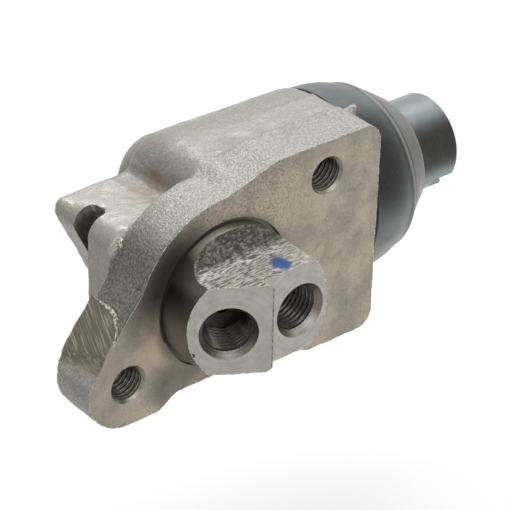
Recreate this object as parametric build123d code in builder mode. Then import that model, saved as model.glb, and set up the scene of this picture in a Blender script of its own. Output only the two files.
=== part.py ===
"""Brake slave cylinder for one end of a drum brake shoe pair.

One iron casting carries a machined mounting flange, a turned spigot with two tapped
pipe ports, the bored barrel and a forked abutment at its closed end. A piston slides
in the bore behind a rubber cup, and a domed rubber boot keeps the dirt out.

All lengths are in millimetres. The origin is the centre of the spigot on the machined
mounting face. X runs along the bore to its open end, -Y points away from the mounting
face, and Z is up.
"""

import os
from math import acos, atan2, cos, degrees, radians, sin, tan

from build123d import *

os.makedirs("parts", exist_ok=True)

# Mounting flange, outlined in X and Z
flange_thickness = 10.7
flange_end_x = 38.3
flange_height = 45.8
flange_top_z = 24.1
flange_corner_radius = 4.0
collar_radius = 20.3
collar_kink_angle = 160.0
collar_shoulder_angle = 89.0
top_slope_end_x = 12.0
waist_bottom_z = -17.9
waist_start_x = -11.6
waist_end_x = 4.0
waist_slope_run = 10.0
lug_radius = 8.8
lug_flat_end_x = -15.2

# Bolt holes, tapped
upper_bolt = (24.95, 16.67)
lower_bolt = (-22.73, -11.68)
bolt_thread_radius = 3.45
bolt_mouth_radius = 4.0
upper_bolt_depth = 12.0

# Spigot and its head with the two pipe ports: one face turned and proud, one square on
spigot_radius = 14.6
spigot_groove_width = 0.9
spigot_groove_depth = 0.8
head_reach = 15.3
head_top_z = 9.3
head_bottom_z = -9.6
head_cove_radius = 5.0
head_root_length = 1.7
head_taper_degrees = 0.4
head_corner_radius = 1.2
turned_face_degrees = 30.5
step_x = -0.65
step_depth = 2.45
port_centre_x = (-7.85, 7.85)
port_centre_z = -0.7
port_mouth_radius = 5.65
port_thread_radius = 4.3
port_depth = 9.6
port_drill_radius = 1.5

# Barrel and bore
bore_y = 19.6
bore_z = 1.8
bore_radius = 11.1
bore_end_x = 2.0
bore_end_chamfer = 3.0
bore_mouth_chamfer = 0.7
barrel_radius = 20.3
barrel_end_x = -1.0
barrel_corner_radius = 7.0
neck_radius = 16.0
neck_length = 4.9
neck_groove_radius = 14.6
neck_groove_offset = 1.7
neck_groove_width = 2.0

# Forked abutment at the closed end
ear_top_z = 14.3
ear_bottom_z = -10.9
ear_end_x = -19.05
ear_back_y = 28.5
ear_corner_radius = 4.0
ear_root_radius = 2.0
ear_slant_degrees = 64.0
ear_slant_start_z = 11.0
ear_cheek_end_z = -4.0
slot_width = 4.7
slot_floor_x = -14.1
slot_corner_radius = 1.6

# Ground stub of the casting gate, on the slanted side of the lower lug
gate_start = 5.8
gate_length = 13.8
gate_height = 0.45
gate_corner_radius = 5.5
gate_end_slope = 3.1

# Flash left at the flange's top corner
flash_reach = 1.7
flash_width = 2.4
flash_height = 1.5
flash_inset = 0.7
flash_root = 2.0
flash_flare_degrees = 5.0

# Piston, its lengths outside measured from the flange's end
bore_clearance = 0.05
piston_inner_x = 18.2
piston_guide_reach = 5.7
piston_nose_radius = 9.8
piston_nose_reach = 31.5
piston_edge_chamfer = 0.5
piston_groove_reach = 16.9
piston_groove_width = 2.2
piston_groove_radius = 8.7
shoe_slot_width = 5.2
shoe_slot_depth = 5.6
shoe_slot_turn_degrees = 47.5

# Cup, cup filler and return spring
cup_length = 5.8
cup_base = 2.4
cup_lip = 1.5
filler_radius = 7.8
filler_thickness = 1.2
filler_boss_radius = 3.4
filler_boss_length = 2.2
spring_wire_radius = 0.55
spring_radius = 5.0
spring_turns = 4.5
spring_wire_sides = 8

# Dust boot, its lengths measured from the flange's end
boot_wall = 1.7
boot_face_gap = 0.7
boot_radius = 19.7
boot_crown_reach = 4.2
boot_mouth_radius = 19.5
boot_dome_reach = 11.6
boot_dome_end_radius = 18.0
boot_bead_reach = 12.1
boot_bead_radius = 17.6
boot_lip_reach = 19.4
boot_lip_radius = 12.6
boot_lip_clearance = 0.05
boot_dome_steps = 3

# Places that follow from these sizes
flange_bottom_z = flange_top_z - flange_height
piston_guide_end_x = flange_end_x + piston_guide_reach
piston_groove_x = flange_end_x + piston_groove_reach
piston_nose_x = flange_end_x + piston_nose_reach
boot_crown_x = flange_end_x + boot_crown_reach
boot_dome_end_x = flange_end_x + boot_dome_reach
boot_bead_x = flange_end_x + boot_bead_reach
boot_lip_x = flange_end_x + boot_lip_reach


def turned_face_y(x):
    """Return how far out the turned port face stands at x."""
    return (step_x - x) * tan(radians(turned_face_degrees)) - head_reach


square_face_y = step_depth - head_reach
port_planes = (
    Plane(
        origin=(port_centre_x[0], turned_face_y(port_centre_x[0]), port_centre_z),
        x_dir=(0, 0, 1),
        z_dir=(-sin(radians(turned_face_degrees)), -cos(radians(turned_face_degrees)), 0),
    ),
    Plane(origin=(port_centre_x[1], square_face_y, port_centre_z), x_dir=(0, 0, 1), z_dir=(0, -1, 0)),
)

bore_axis = Axis((0, bore_y, bore_z), (1, 0, 0))
bore_section = Plane(origin=(0, bore_y, bore_z), x_dir=(1, 0, 0), z_dir=(0, -1, 0))

# The spigot: full round at its root, then a slightly tapered head that is cut back to
# two upright port faces with a step between them, and coved above and below
face_half_width = 2 * spigot_radius
with BuildPart() as spigot:
    with BuildSketch(Plane.XZ):
        Circle(spigot_radius)
    extrude(amount=head_root_length)
    extrude(faces().sort_by(Axis.Y)[-1], amount=spigot_groove_depth)
    extrude(
        faces().sort_by(Axis.Y)[0],
        amount=head_reach - head_root_length,
        taper=head_taper_degrees,
    )
    with BuildSketch(Plane.XY):
        with BuildLine():
            Polyline(
                (-face_half_width, flange_thickness),
                (-face_half_width, turned_face_y(-face_half_width)),
                (step_x, -head_reach),
                (step_x, square_face_y),
                (face_half_width, square_face_y),
                (face_half_width, flange_thickness),
                close=True,
            )
        make_face()
    extrude(amount=spigot_radius, both=True, mode=Mode.INTERSECT)
    cove_y = -head_root_length - head_cove_radius
    with BuildSketch(Plane.YZ):
        with BuildLine():
            upper = CenterArc((cove_y, head_top_z + head_cove_radius), head_cove_radius, 270, 90)
            lower = CenterArc((cove_y, head_bottom_z - head_cove_radius), head_cove_radius, 0, 90)
            Polyline(
                upper @ 1,
                (-head_root_length, 2 * spigot_radius),
                (flange_thickness, 2 * spigot_radius),
                (flange_thickness, -2 * spigot_radius),
                (-head_root_length, -2 * spigot_radius),
                lower @ 0,
            )
            Polyline(
                lower @ 1,
                (-2 * head_reach, head_bottom_z),
                (-2 * head_reach, head_top_z),
                upper @ 0,
            )
        make_face()
    extrude(amount=spigot_radius, both=True, mode=Mode.INTERSECT)
    step_edges = edges().filter_by(Axis.Y).sort_by(lambda edge: abs(edge.center().X - step_x))[:2]
    fillet(step_edges, radius=head_corner_radius)

# Where the lug's slanted side leaves the collar and touches the lug
kink = Vector(
    collar_radius * cos(radians(collar_kink_angle)),
    collar_radius * sin(radians(collar_kink_angle)),
)
lug_to_kink = kink - Vector(*lower_bolt)
lug_tangent_angle = degrees(
    atan2(lug_to_kink.Y, lug_to_kink.X) + acos(lug_radius / lug_to_kink.length)
)
lug_tangent = Vector(
    lower_bolt[0] + lug_radius * cos(radians(lug_tangent_angle)),
    lower_bolt[1] + lug_radius * sin(radians(lug_tangent_angle)),
)
lug_side_plane = Plane(
    origin=(kink.X, 0, kink.Y),
    x_dir=(lug_tangent.X - kink.X, 0, lug_tangent.Y - kink.Y),
    z_dir=(cos(radians(lug_tangent_angle)), 0, sin(radians(lug_tangent_angle))),
)

# The whole casting
ear_run_per_drop = 1 / tan(radians(ear_slant_degrees))
slot_up = (-cos(radians(ear_slant_degrees)), 0, sin(radians(ear_slant_degrees)))
slot_out = (-sin(radians(ear_slant_degrees)), 0, -cos(radians(ear_slant_degrees)))
slot_plane = Plane(origin=(slot_floor_x, bore_y, ear_top_z), x_dir=slot_out, z_dir=slot_up)
slot_front_y = bore_y - slot_width / 2
slot_reach = slot_floor_x - ear_end_x + ear_corner_radius
slot_length = (ear_top_z - ear_bottom_z) / sin(radians(ear_slant_degrees))
open_end_x = flange_end_x + neck_length
neck_groove_x = flange_end_x + neck_groove_offset

with BuildPart() as cylinder_body:
    # Barrel: straight in front of the bore axis, half round behind it
    with BuildSketch(bore_section):
        with BuildLine():
            rim = FilletPolyline(
                (flange_end_x, barrel_radius),
                (barrel_end_x, barrel_radius),
                (barrel_end_x, -barrel_radius),
                (flange_end_x, -barrel_radius),
                radius=barrel_corner_radius,
            )
            Line(rim @ 1, rim @ 0)
        make_face()
    extrude(amount=bore_y - flange_thickness / 2)
    with BuildSketch(bore_section):
        with BuildLine():
            half_rim = FilletPolyline(
                (flange_end_x, barrel_radius),
                (barrel_end_x, barrel_radius),
                (barrel_end_x, 0),
                radius=barrel_corner_radius,
            )
            Polyline(half_rim @ 1, (flange_end_x, 0), half_rim @ 0)
        make_face()
    revolve(axis=bore_axis.reverse(), revolution_arc=180)

    # Turned neck with the groove that holds the boot
    with BuildSketch(bore_section):
        with BuildLine():
            Polyline(
                (bore_end_x, 0),
                (bore_end_x, neck_radius),
                (neck_groove_x, neck_radius),
                (neck_groove_x, neck_groove_radius),
                (neck_groove_x + neck_groove_width, neck_groove_radius),
                (neck_groove_x + neck_groove_width, neck_radius),
                (open_end_x, neck_radius),
                (open_end_x, 0),
                close=True,
            )
        make_face()
    revolve(axis=bore_axis)

    # Abutment block, then its slanted rear cheek and the slot between the cheeks
    with BuildSketch(Plane.XZ.offset(-flange_thickness)):
        with BuildLine():
            root = CenterArc(
                (barrel_end_x - ear_root_radius, ear_top_z + ear_root_radius), ear_root_radius, 270, 90
            )
            Polyline(
                root @ 0,
                (ear_end_x, ear_top_z),
                (ear_end_x, ear_cheek_end_z),
                (ear_end_x + ear_cheek_end_z - ear_bottom_z, ear_bottom_z),
                (bore_end_x, ear_bottom_z),
                (bore_end_x, ear_top_z + ear_root_radius),
                root @ 1,
            )
        make_face()
        fillet(vertices().group_by(Axis.X)[0].sort_by(Axis.Y)[-1], radius=ear_corner_radius)
    extrude(amount=flange_thickness - ear_back_y)
    with BuildSketch(Plane.XZ.offset(-slot_front_y)):
        with BuildLine():
            Polyline(
                (ear_end_x, ear_slant_start_z),
                (ear_end_x + (ear_slant_start_z - ear_bottom_z) * ear_run_per_drop, ear_bottom_z),
                (ear_end_x, ear_bottom_z),
                close=True,
            )
        make_face()
    extrude(amount=slot_front_y - ear_back_y, mode=Mode.SUBTRACT)
    with BuildSketch(slot_plane.offset(ear_corner_radius)):
        with Locations((slot_reach / 2, 0)):
            Rectangle(slot_reach, slot_width)
        fillet(vertices().group_by(Axis.X)[0], radius=slot_corner_radius)
    extrude(amount=-ear_corner_radius - slot_length, mode=Mode.SUBTRACT)

    # Flange, with a collar round the spigot and a lug for the lower bolt
    with BuildSketch(Plane.XZ):
        with BuildLine():
            collar = CenterArc(
                (0, 0), collar_radius, collar_shoulder_angle, collar_kink_angle - collar_shoulder_angle
            )
            lug = CenterArc(lower_bolt, lug_radius, lug_tangent_angle, 270 - lug_tangent_angle)
            Line(collar @ 1, lug @ 0)
            FilletPolyline(
                lug @ 1,
                (lug_flat_end_x, lower_bolt[1] - lug_radius),
                (waist_start_x, waist_bottom_z),
                (waist_end_x, waist_bottom_z),
                (waist_end_x + waist_slope_run, flange_bottom_z),
                (flange_end_x, flange_bottom_z),
                (flange_end_x, flange_top_z),
                (top_slope_end_x, flange_top_z),
                collar @ 0,
                radius=flange_corner_radius,
            )
        make_face()
    extrude(amount=-flange_thickness)

    # Spigot, with a narrow groove turned into the mounting face round it
    add(spigot.part)
    with BuildSketch(Plane.XZ):
        Circle(spigot_radius + spigot_groove_width)
        Circle(spigot_radius, mode=Mode.SUBTRACT)
    extrude(amount=-spigot_groove_depth, mode=Mode.SUBTRACT)

    # Bore with its closed end, and the widened mouth
    with BuildSketch(bore_section):
        with BuildLine():
            Polyline(
                (bore_end_x, 0),
                (bore_end_x, bore_radius - bore_end_chamfer),
                (bore_end_x + bore_end_chamfer, bore_radius),
                (open_end_x - bore_mouth_chamfer, bore_radius),
                (open_end_x, bore_radius + bore_mouth_chamfer),
                (open_end_x, 0),
                close=True,
            )
        make_face()
    revolve(axis=bore_axis, mode=Mode.SUBTRACT)

    # Ground stub of the gate, a little proud of the lug's slanted side
    with BuildSketch(lug_side_plane.offset(gate_height)):
        with BuildLine():
            Polyline(
                (gate_start, -flange_thickness),
                (gate_start, 0),
                (gate_start + gate_length - gate_end_slope, 0),
                (gate_start + gate_length, -flange_thickness),
                close=True,
            )
        make_face()
        fillet(vertices().sort_by(Axis.X)[:2].sort_by(Axis.Y)[-1], radius=gate_corner_radius)
    extrude(amount=-gate_height - lug_radius / 4)

    # Tapped bolt holes: the upper one is blind, the lower one goes through the lug
    for bolt, depth in ((upper_bolt, upper_bolt_depth), (lower_bolt, flange_thickness)):
        with Locations(Plane(origin=(bolt[0], 0, bolt[1]), z_dir=(0, -1, 0))):
            CounterSinkHole(
                radius=bolt_thread_radius,
                counter_sink_radius=bolt_mouth_radius,
                depth=depth,
                counter_sink_angle=90,
            )

    # Pipe ports: a seating cone, the thread, and a drilling through to the bore
    for plane in port_planes:
        with Locations(plane):
            CounterSinkHole(
                radius=port_thread_radius,
                counter_sink_radius=port_mouth_radius,
                depth=port_depth,
                counter_sink_angle=60,
            )
            Hole(radius=port_drill_radius, depth=bore_y + head_reach)

    # Flash at the flange's top corner, rooted in the corner's rounding
    flash_y = flange_thickness - flash_inset - flash_width / 2
    flash_z = flange_top_z - flash_inset - flash_height / 2
    with BuildSketch(Plane(origin=(flange_end_x + flash_reach, flash_y, flash_z), z_dir=(-1, 0, 0))):
        Rectangle(flash_height, flash_width)
    extrude(amount=flash_reach + flash_root, taper=-flash_flare_degrees)

# Piston: guided in the bore, grooved for the boot's lip, slotted at its nose
guide_radius = bore_radius - bore_clearance
piston_groove_end_x = piston_groove_x + piston_groove_width
with BuildPart() as piston:
    with BuildSketch(bore_section):
        with BuildLine():
            Polyline(
                (piston_inner_x, 0),
                (piston_inner_x, guide_radius - piston_edge_chamfer),
                (piston_inner_x + piston_edge_chamfer, guide_radius),
                (piston_guide_end_x, guide_radius),
                (piston_guide_end_x + guide_radius - piston_nose_radius, piston_nose_radius),
                (piston_groove_x, piston_nose_radius),
                (piston_groove_x, piston_groove_radius),
                (piston_groove_end_x, piston_groove_radius),
                (piston_groove_end_x, piston_nose_radius),
                (piston_nose_x - piston_edge_chamfer, piston_nose_radius),
                (piston_nose_x, piston_nose_radius - piston_edge_chamfer),
                (piston_nose_x, 0),
                close=True,
            )
        make_face()
    revolve(axis=bore_axis)
    slot_along = (0, sin(radians(shoe_slot_turn_degrees)), cos(radians(shoe_slot_turn_degrees)))
    with BuildSketch(Plane(origin=(piston_nose_x, bore_y, bore_z), x_dir=slot_along, z_dir=(1, 0, 0))):
        Rectangle(3 * piston_nose_radius, shoe_slot_width)
    extrude(amount=-shoe_slot_depth, mode=Mode.SUBTRACT)

# Rubber cup, its open side towards the closed end of the bore
cup_mouth_x = piston_inner_x - cup_length
with BuildPart() as piston_cup:
    with BuildSketch(bore_section):
        with BuildLine():
            Polyline(
                (piston_inner_x, 0),
                (piston_inner_x, guide_radius - cup_lip),
                (piston_inner_x - cup_lip, guide_radius),
                (cup_mouth_x, guide_radius),
                (cup_mouth_x, guide_radius - cup_lip / 2),
                (piston_inner_x - cup_base, filler_radius + bore_clearance),
                (piston_inner_x - cup_base, 0),
                close=True,
            )
        make_face()
    revolve(axis=bore_axis)

# Filler that spreads the cup and centres the spring
filler_x = piston_inner_x - cup_base
spring_seat_x = filler_x - filler_thickness
with BuildPart() as cup_filler:
    with BuildSketch(bore_section):
        with BuildLine():
            Polyline(
                (filler_x, 0),
                (filler_x, filler_radius),
                (spring_seat_x, filler_radius),
                (spring_seat_x, filler_boss_radius),
                (spring_seat_x - filler_boss_length, filler_boss_radius),
                (spring_seat_x - filler_boss_length, 0),
                close=True,
            )
        make_face()
    revolve(axis=bore_axis)

# Light return spring between the bore's closed end and the filler
spring_length = spring_seat_x - bore_end_x - 2 * spring_wire_radius
with BuildPart() as return_spring:
    with BuildLine():
        coil = Helix(
            pitch=spring_length / spring_turns,
            height=spring_length,
            radius=spring_radius,
            center=(bore_end_x + spring_wire_radius, bore_y, bore_z),
            direction=(1, 0, 0),
        )
    with BuildSketch(Plane(origin=coil @ 0, z_dir=coil % 0)):
        RegularPolygon(spring_wire_radius, spring_wire_sides)
    sweep(is_frenet=True)

# Dust boot: a domed wall, a bead in the neck's groove and a lip in the piston's groove
bead_x = neck_groove_x
with BuildPart() as dust_boot:
    with BuildSketch(bore_section):
        with BuildLine():
            outer_dome = ThreePointArc(
                (flange_end_x + boot_face_gap, boot_mouth_radius),
                (boot_crown_x, boot_radius),
                (boot_dome_end_x, boot_dome_end_radius),
                mode=Mode.PRIVATE,
            )
            inner_dome = ThreePointArc(
                (bead_x + neck_groove_width, boot_mouth_radius - boot_wall),
                (boot_crown_x + neck_groove_width / 2, boot_radius - boot_wall),
                (boot_dome_end_x - boot_wall / 2, boot_dome_end_radius - boot_wall),
                mode=Mode.PRIVATE,
            )
            Polyline(
                *[outer_dome @ (step / boot_dome_steps) for step in range(boot_dome_steps + 1)],
                (boot_bead_x, boot_bead_radius),
                (boot_lip_x, boot_lip_radius),
                (boot_lip_x, piston_nose_radius + boot_lip_clearance),
                (piston_groove_end_x - boot_lip_clearance, piston_nose_radius + boot_lip_clearance),
                (piston_groove_end_x - boot_lip_clearance, piston_groove_radius + boot_lip_clearance),
                (piston_groove_x + boot_lip_clearance, piston_groove_radius + boot_lip_clearance),
                (piston_groove_x + boot_lip_clearance, boot_lip_radius - boot_wall / 2),
                *[inner_dome @ (1 - step / boot_dome_steps) for step in range(boot_dome_steps + 1)],
                (bead_x + neck_groove_width, neck_groove_radius),
                (bead_x, neck_groove_radius),
                (bead_x, neck_radius),
                (flange_end_x + boot_face_gap, neck_radius),
                close=True,
            )
        make_face()
    revolve(axis=bore_axis)

for name, piece in (
    ("cylinder_body", cylinder_body),
    ("piston", piston),
    ("piston_cup", piston_cup),
    ("cup_filler", cup_filler),
    ("return_spring", return_spring),
    ("dust_boot", dust_boot),
):
    piece.part.label = name
    export_step(piece.part, f"parts/{name}.step")
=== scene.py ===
"""Looks of the brake slave cylinder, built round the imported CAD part."""
import math

import bmesh
import bpy
import numpy as np
from mathutils import Matrix, Vector, noise
from mathutils.geometry import delaunay_2d_cdt


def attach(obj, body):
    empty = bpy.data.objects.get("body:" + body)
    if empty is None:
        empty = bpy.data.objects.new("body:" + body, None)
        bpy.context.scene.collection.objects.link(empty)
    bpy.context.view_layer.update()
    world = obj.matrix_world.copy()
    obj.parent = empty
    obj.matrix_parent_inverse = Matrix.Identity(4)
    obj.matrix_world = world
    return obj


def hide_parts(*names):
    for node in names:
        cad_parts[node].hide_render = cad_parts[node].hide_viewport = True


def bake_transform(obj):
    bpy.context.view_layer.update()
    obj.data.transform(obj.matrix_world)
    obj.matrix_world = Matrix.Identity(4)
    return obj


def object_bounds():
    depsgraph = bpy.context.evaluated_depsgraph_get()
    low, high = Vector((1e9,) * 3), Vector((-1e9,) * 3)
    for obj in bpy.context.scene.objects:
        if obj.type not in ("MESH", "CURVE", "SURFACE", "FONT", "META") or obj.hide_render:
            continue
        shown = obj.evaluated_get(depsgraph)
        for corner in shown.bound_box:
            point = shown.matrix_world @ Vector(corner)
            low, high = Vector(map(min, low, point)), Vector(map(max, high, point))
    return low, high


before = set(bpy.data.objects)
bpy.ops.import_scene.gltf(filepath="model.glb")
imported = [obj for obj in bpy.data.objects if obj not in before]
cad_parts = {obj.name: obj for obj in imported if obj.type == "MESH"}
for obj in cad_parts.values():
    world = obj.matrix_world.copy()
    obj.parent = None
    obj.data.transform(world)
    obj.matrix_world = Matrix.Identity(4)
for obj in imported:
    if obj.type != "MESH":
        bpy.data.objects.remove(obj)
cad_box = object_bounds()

MM = 0.001
X, Y, Z = (1, 0, 0), (0, 1, 0), (0, 0, 1)
scene = bpy.context.scene
scene.view_settings.view_transform = "Standard"


def add_object(name, data):
    obj = bpy.data.objects.new(name, data)
    scene.collection.objects.link(obj)
    return obj


def new_mesh(name, places, faces):
    mesh = bpy.data.meshes.new(name)
    mesh.from_pydata(places, [], faces)
    return mesh


# Camera, as measured in the photo
PHOTO_WIDTH, FOCAL_LENGTH = 510, 2491.7
SENSOR_WIDTH = 36
AIM, DISTANCE = Vector((7.34, 0, 5.44)) * MM, 0.47108
AZ, EL, ROLL = (math.radians(a) for a in (-40.09, 31.08, 1.29))
back = Vector((math.sin(AZ) * math.cos(EL), -math.cos(AZ) * math.cos(EL), math.sin(EL)))
right = Vector((math.cos(AZ), math.sin(AZ), 0))
up = back.cross(right)
cam_x = math.cos(ROLL) * right + math.sin(ROLL) * up
cam_y = -math.sin(ROLL) * right + math.cos(ROLL) * up
turned = Matrix((cam_x, cam_y, back)).transposed().to_4x4()
camera = add_object("camera", bpy.data.cameras.new("camera"))
camera.matrix_world = Matrix.Translation(AIM + back * DISTANCE) @ turned
camera.data.sensor_fit = "HORIZONTAL"
camera.data.sensor_width = SENSOR_WIDTH
camera.data.lens = FOCAL_LENGTH / PHOTO_WIDTH * SENSOR_WIDTH
camera.data.clip_start = 0.01
scene.camera = camera

# Nodes


def feed(tree, socket, value):
    """Join a value to a socket, or set it there."""
    if isinstance(value, bpy.types.NodeSocket):
        tree.links.new(value, socket)
    elif isinstance(value, tuple) and len(value) == 3 and socket.type == "RGBA":
        socket.default_value = (*value, 1)
    else:
        socket.default_value = value


def new_node(tree, kind, output, inputs, **settings):
    """An output of a new node; its inputs are given by name or number, or left when None."""
    node = tree.nodes.new("ShaderNode" + kind)
    for name, value in settings.items():
        setattr(node, name, value)
    for name, value in inputs.items():
        if value is not None:
            feed(tree, node.inputs[name], value)
    return node.outputs[output]


def srgb(r, g, b):
    """Linear colour from an 8-bit screen colour."""
    return tuple(
        (v / 255 / 12.92) if v <= 10 else ((v / 255 + 0.055) / 1.055) ** 2.4 for v in (r, g, b)
    )


class Graph:
    """A material under construction: small calls that add and join nodes."""

    def __init__(self, name):
        self.mat = bpy.data.materials.new(name)
        self.mat.use_nodes = True
        self.tree = self.mat.node_tree
        self.bsdf = self.tree.nodes["Principled BSDF"]
        self.place = self.node("TexCoord", "Object", {})
        self.tone = None

    def node(self, kind, output, inputs, **settings):
        return new_node(self.tree, kind, output, inputs, **settings)

    def math(self, operation, a, b=0.0):
        return self.node("Math", 0, {0: a, 1: b}, operation=operation)

    def times(self, a, b):
        return self.math("MULTIPLY", a, b)

    def along(self, direction):
        """How far a point lies along a direction, in millimetres."""
        inputs = {0: self.place, 1: tuple(c / MM for c in direction)}
        return self.node("VectorMath", "Value", inputs, operation="DOT_PRODUCT")

    def noise(self, size_mm, detail=3.0, rough=0.55, axes=None, stretch=(1, 1, 1)):
        """Noise with cells of a size, longer along each of the given axes by its stretch."""
        inputs = {"Scale": 1 / (size_mm * MM), "Detail": detail, "Roughness": rough, "Vector": self.place}
        if axes:
            parts = [self.math("DIVIDE", self.along(a), s) for a, s in zip(axes, stretch)]
            inputs["Scale"] = 1 / size_mm
            inputs["Vector"] = self.node("CombineXYZ", 0, dict(enumerate(parts)))
        return self.node("TexNoise", "Fac", inputs)

    def rings(self, point_mm, size_mm, detail):
        """Noise that changes only with the distance from a point."""
        out = self.node("CombineXYZ", 0, {0: self.math("DIVIDE", self.distance(point_mm), size_mm)})
        return self.node("TexNoise", "Fac", {"Scale": 1, "Detail": detail, "Vector": out})

    def ramp(self, value, low, high, to_low=0.0, to_high=1.0):
        inputs = dict(enumerate((value, low, high, to_low, to_high)))
        return self.node("MapRange", 0, inputs, interpolation_type="SMOOTHSTEP")

    def mix(self, fac, a, b, blend_type="MIX"):
        inputs = {"Factor": fac, "A": a, "B": b}
        return self.node("Mix", "Result", inputs, data_type="RGBA", blend_type=blend_type)

    def blend(self, fac, low, high):
        """A mix of two screen colours."""
        return self.mix(fac, srgb(*low), srgb(*high))

    def coat(self, fac, colour):
        """Lay a screen colour over the tone, as far as the factor says."""
        self.tone = self.mix(fac, self.tone, srgb(*colour))

    def shade(self, factor):
        """Multiply the tone by a grey factor."""
        self.tone = self.mix(1, self.tone, factor, "MULTIPLY")

    def attribute(self, name):
        return self.node("Attribute", "Fac", {}, attribute_name=name)

    def distance(self, point_mm, scale=(1, 1, 1)):
        """Distance from a point in the part's frame, in millimetres times the scale."""
        shift = tuple(-p * s for p, s in zip(point_mm, scale))
        inputs = {"Location": shift, "Scale": tuple(s / MM for s in scale), "Vector": self.place}
        return self.node("VectorMath", "Value", {0: self.node("Mapping", 0, inputs)}, operation="LENGTH")

    def spot(self, point_mm, size, soft, strength, scale=(1, 1, 1)):
        """A soft-edged mark of a size round a point."""
        return self.ramp(self.distance(point_mm, scale), size - soft, size + soft, strength, 0)

    def bump(self, height, depth_mm, normal=None, strength=1.0):
        inputs = {"Distance": depth_mm * MM, "Strength": strength, "Height": height, "Normal": normal}
        return self.node("Bump", 0, inputs)

    def finish(self, roughness, metallic, normal, **others):
        """The material, with its tone and what else its surface is given by name."""
        inputs = {"Base Color": self.tone, "Roughness": roughness, "Metallic": metallic, "Normal": normal}
        for name, value in {**inputs, **others}.items():
            feed(self.tree, self.bsdf.inputs[name.replace("_", " ")], value)
        return self.mat


# Light and stage


def area_light(name, place, size, power):
    lamp = bpy.data.lights.new(name, "AREA")
    lamp.shape = "DISK"
    lamp.size = size
    lamp.energy = power
    obj = add_object(name, lamp)
    obj.location = place
    obj.rotation_euler = (-Vector(place)).to_track_quat("-Z", "Y").to_euler()


area_light("light_top", (0.26, 0.30, 0.70), 0.5, 4.3)
area_light("light_front", (0.04, -0.85, 0.32), 0.5, 3.2)


def rays_seen(tree):
    """One where the camera, a reflection or a transmission looks, nought for other light."""
    path = tree.nodes.new("ShaderNodeLightPath").outputs
    seen = path["Is Camera Ray"]
    for name in ("Is Transmission Ray", "Is Glossy Ray"):
        seen = new_node(tree, "Math", 0, {0: seen, 1: path[name]}, operation="MAXIMUM")
    return seen


def spread(tree, value, low, high, start=0, end=1):
    """Map the stretch from start to end onto low to high."""
    inputs = {"Value": value, "From Min": start, "From Max": end, "To Min": low, "To Max": high}
    return new_node(tree, "MapRange", 0, inputs)


AMBIENT = 0.11
world = bpy.data.worlds.new("studio")
scene.world = world
world.use_nodes = True
background = world.node_tree.nodes["Background"]
background.inputs["Color"].default_value = (1, 1, 1, 1)
sky = spread(world.node_tree, rays_seen(world.node_tree), AMBIENT, 1)
world.node_tree.links.new(sky, background.inputs["Strength"])

FLOOR_DROP, FLOOR_HALF = 0.045, 3
FLOOR_GLOW, HORIZON_GLOW = 0.7, 0.34
PALER_FROM, PALER_TO = 0.32, 1.2
floor_z = cad_box[0][2] - FLOOR_DROP
floor_corners = [(x * FLOOR_HALF, y * FLOOR_HALF, floor_z) for x, y in ((-1, -1), (1, -1), (1, 1), (-1, 1))]
floor = add_object("floor", new_mesh("floor", floor_corners, [(0, 1, 2, 3)]))


def floor_material():
    """A grey floor that looks white, and paler far off, so that no horizon shows."""
    g = Graph("floor")
    glow = spread(g.tree, rays_seen(g.tree), 0, FLOOR_GLOW)
    where = g.node("NewGeometry", "Position", {})
    away = g.node("VectorMath", "Value", {0: where}, operation="LENGTH")
    paler = {
        0: g.node("LightPath", "Is Camera Ray", {}),
        1: spread(g.tree, away, 0, HORIZON_GLOW, PALER_FROM, PALER_TO),
        2: glow,
    }
    feed(g.tree, g.bsdf.inputs["Base Color"], (0.4, 0.4, 0.4))
    feed(g.tree, g.bsdf.inputs["Roughness"], 0.9)
    feed(g.tree, g.bsdf.inputs["Emission Color"], (1.0, 1.0, 1.0))
    feed(g.tree, g.bsdf.inputs["Emission Strength"], g.node("Math", 0, paler, operation="MULTIPLY_ADD"))
    return g.mat


floor.data.materials.append(floor_material())

# Where the surfaces of the casting are, in millimetres
SPIGOT_R = 14.6
BORE_Y, BORE_Z = 19.6, 1.8
FLANGE_BACK = 10.7
STEP_X, SQUARE_Y = -0.65, -12.85
HEAD_BOTTOM, HEAD_TOP, HEAD_FRONT = -9.58, 9.27, -15.4
SHOULDER_Y, GROOVE_FLOOR = -1.7, 0.85
OUT = Vector((0, -1, 0))
PORTS = (
    (Vector((-7.85, -11.059, -0.7)), Vector((-0.50754, -0.86163, 0))),
    (Vector((7.85, SQUARE_Y, -0.7)), OUT),
)
BOLTS = ((Vector((24.95, 0, 16.67)), OUT), (Vector((-22.73, 0, -11.68)), OUT))
CONE_MOUTH, CONE_FOOT, CONE_DEPTH = 5.65, 4.3, 2.338
PORT_ROOT, PORT_DEPTH, DRILLING_R = 5.0, 9.6, 1.5
BOLT_CREST, BOLT_ROOT, BOLT_CONE, BOLT_DEPTH = 3.45, 4.02, 0.55, 12.0
BORE_WALL, BORE_END, BORE_RIM_R = 11.95, 1.9, 13
NECK_R, NECK_X, NECK_FLOOR = 16.2, 38.35, 43.1
EAR_CORNER, FLANGE_CORNER, CORNER_R = (-15.05, 10.3), (34.3, 20.1), 4.0
FLANGE_END = 38.4
FACET_NORMAL = Vector((-0.8039, 0, 0.5948))
DOWN_FACET = (-0.5948, -0.29, -0.8039)
FACET_AT, LUG_SIDE_AT = 20.17, 19.72
SLOT_UP, SLOT_HALF = Vector((-0.4384, 0, 0.8988)), 2.4
EAR_X, EAR_ROOT_X = -19.04, -9

# Materials


def port_rings(g, size, detail):
    """Fine rings round the port whose face or cone a point is on."""
    waves = [g.rings(mouth, size, detail) for mouth, _ in PORTS]
    return g.mix(g.ramp(g.along(X), STEP_X - 0.01, STEP_X + 0.01), *waves)


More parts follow.
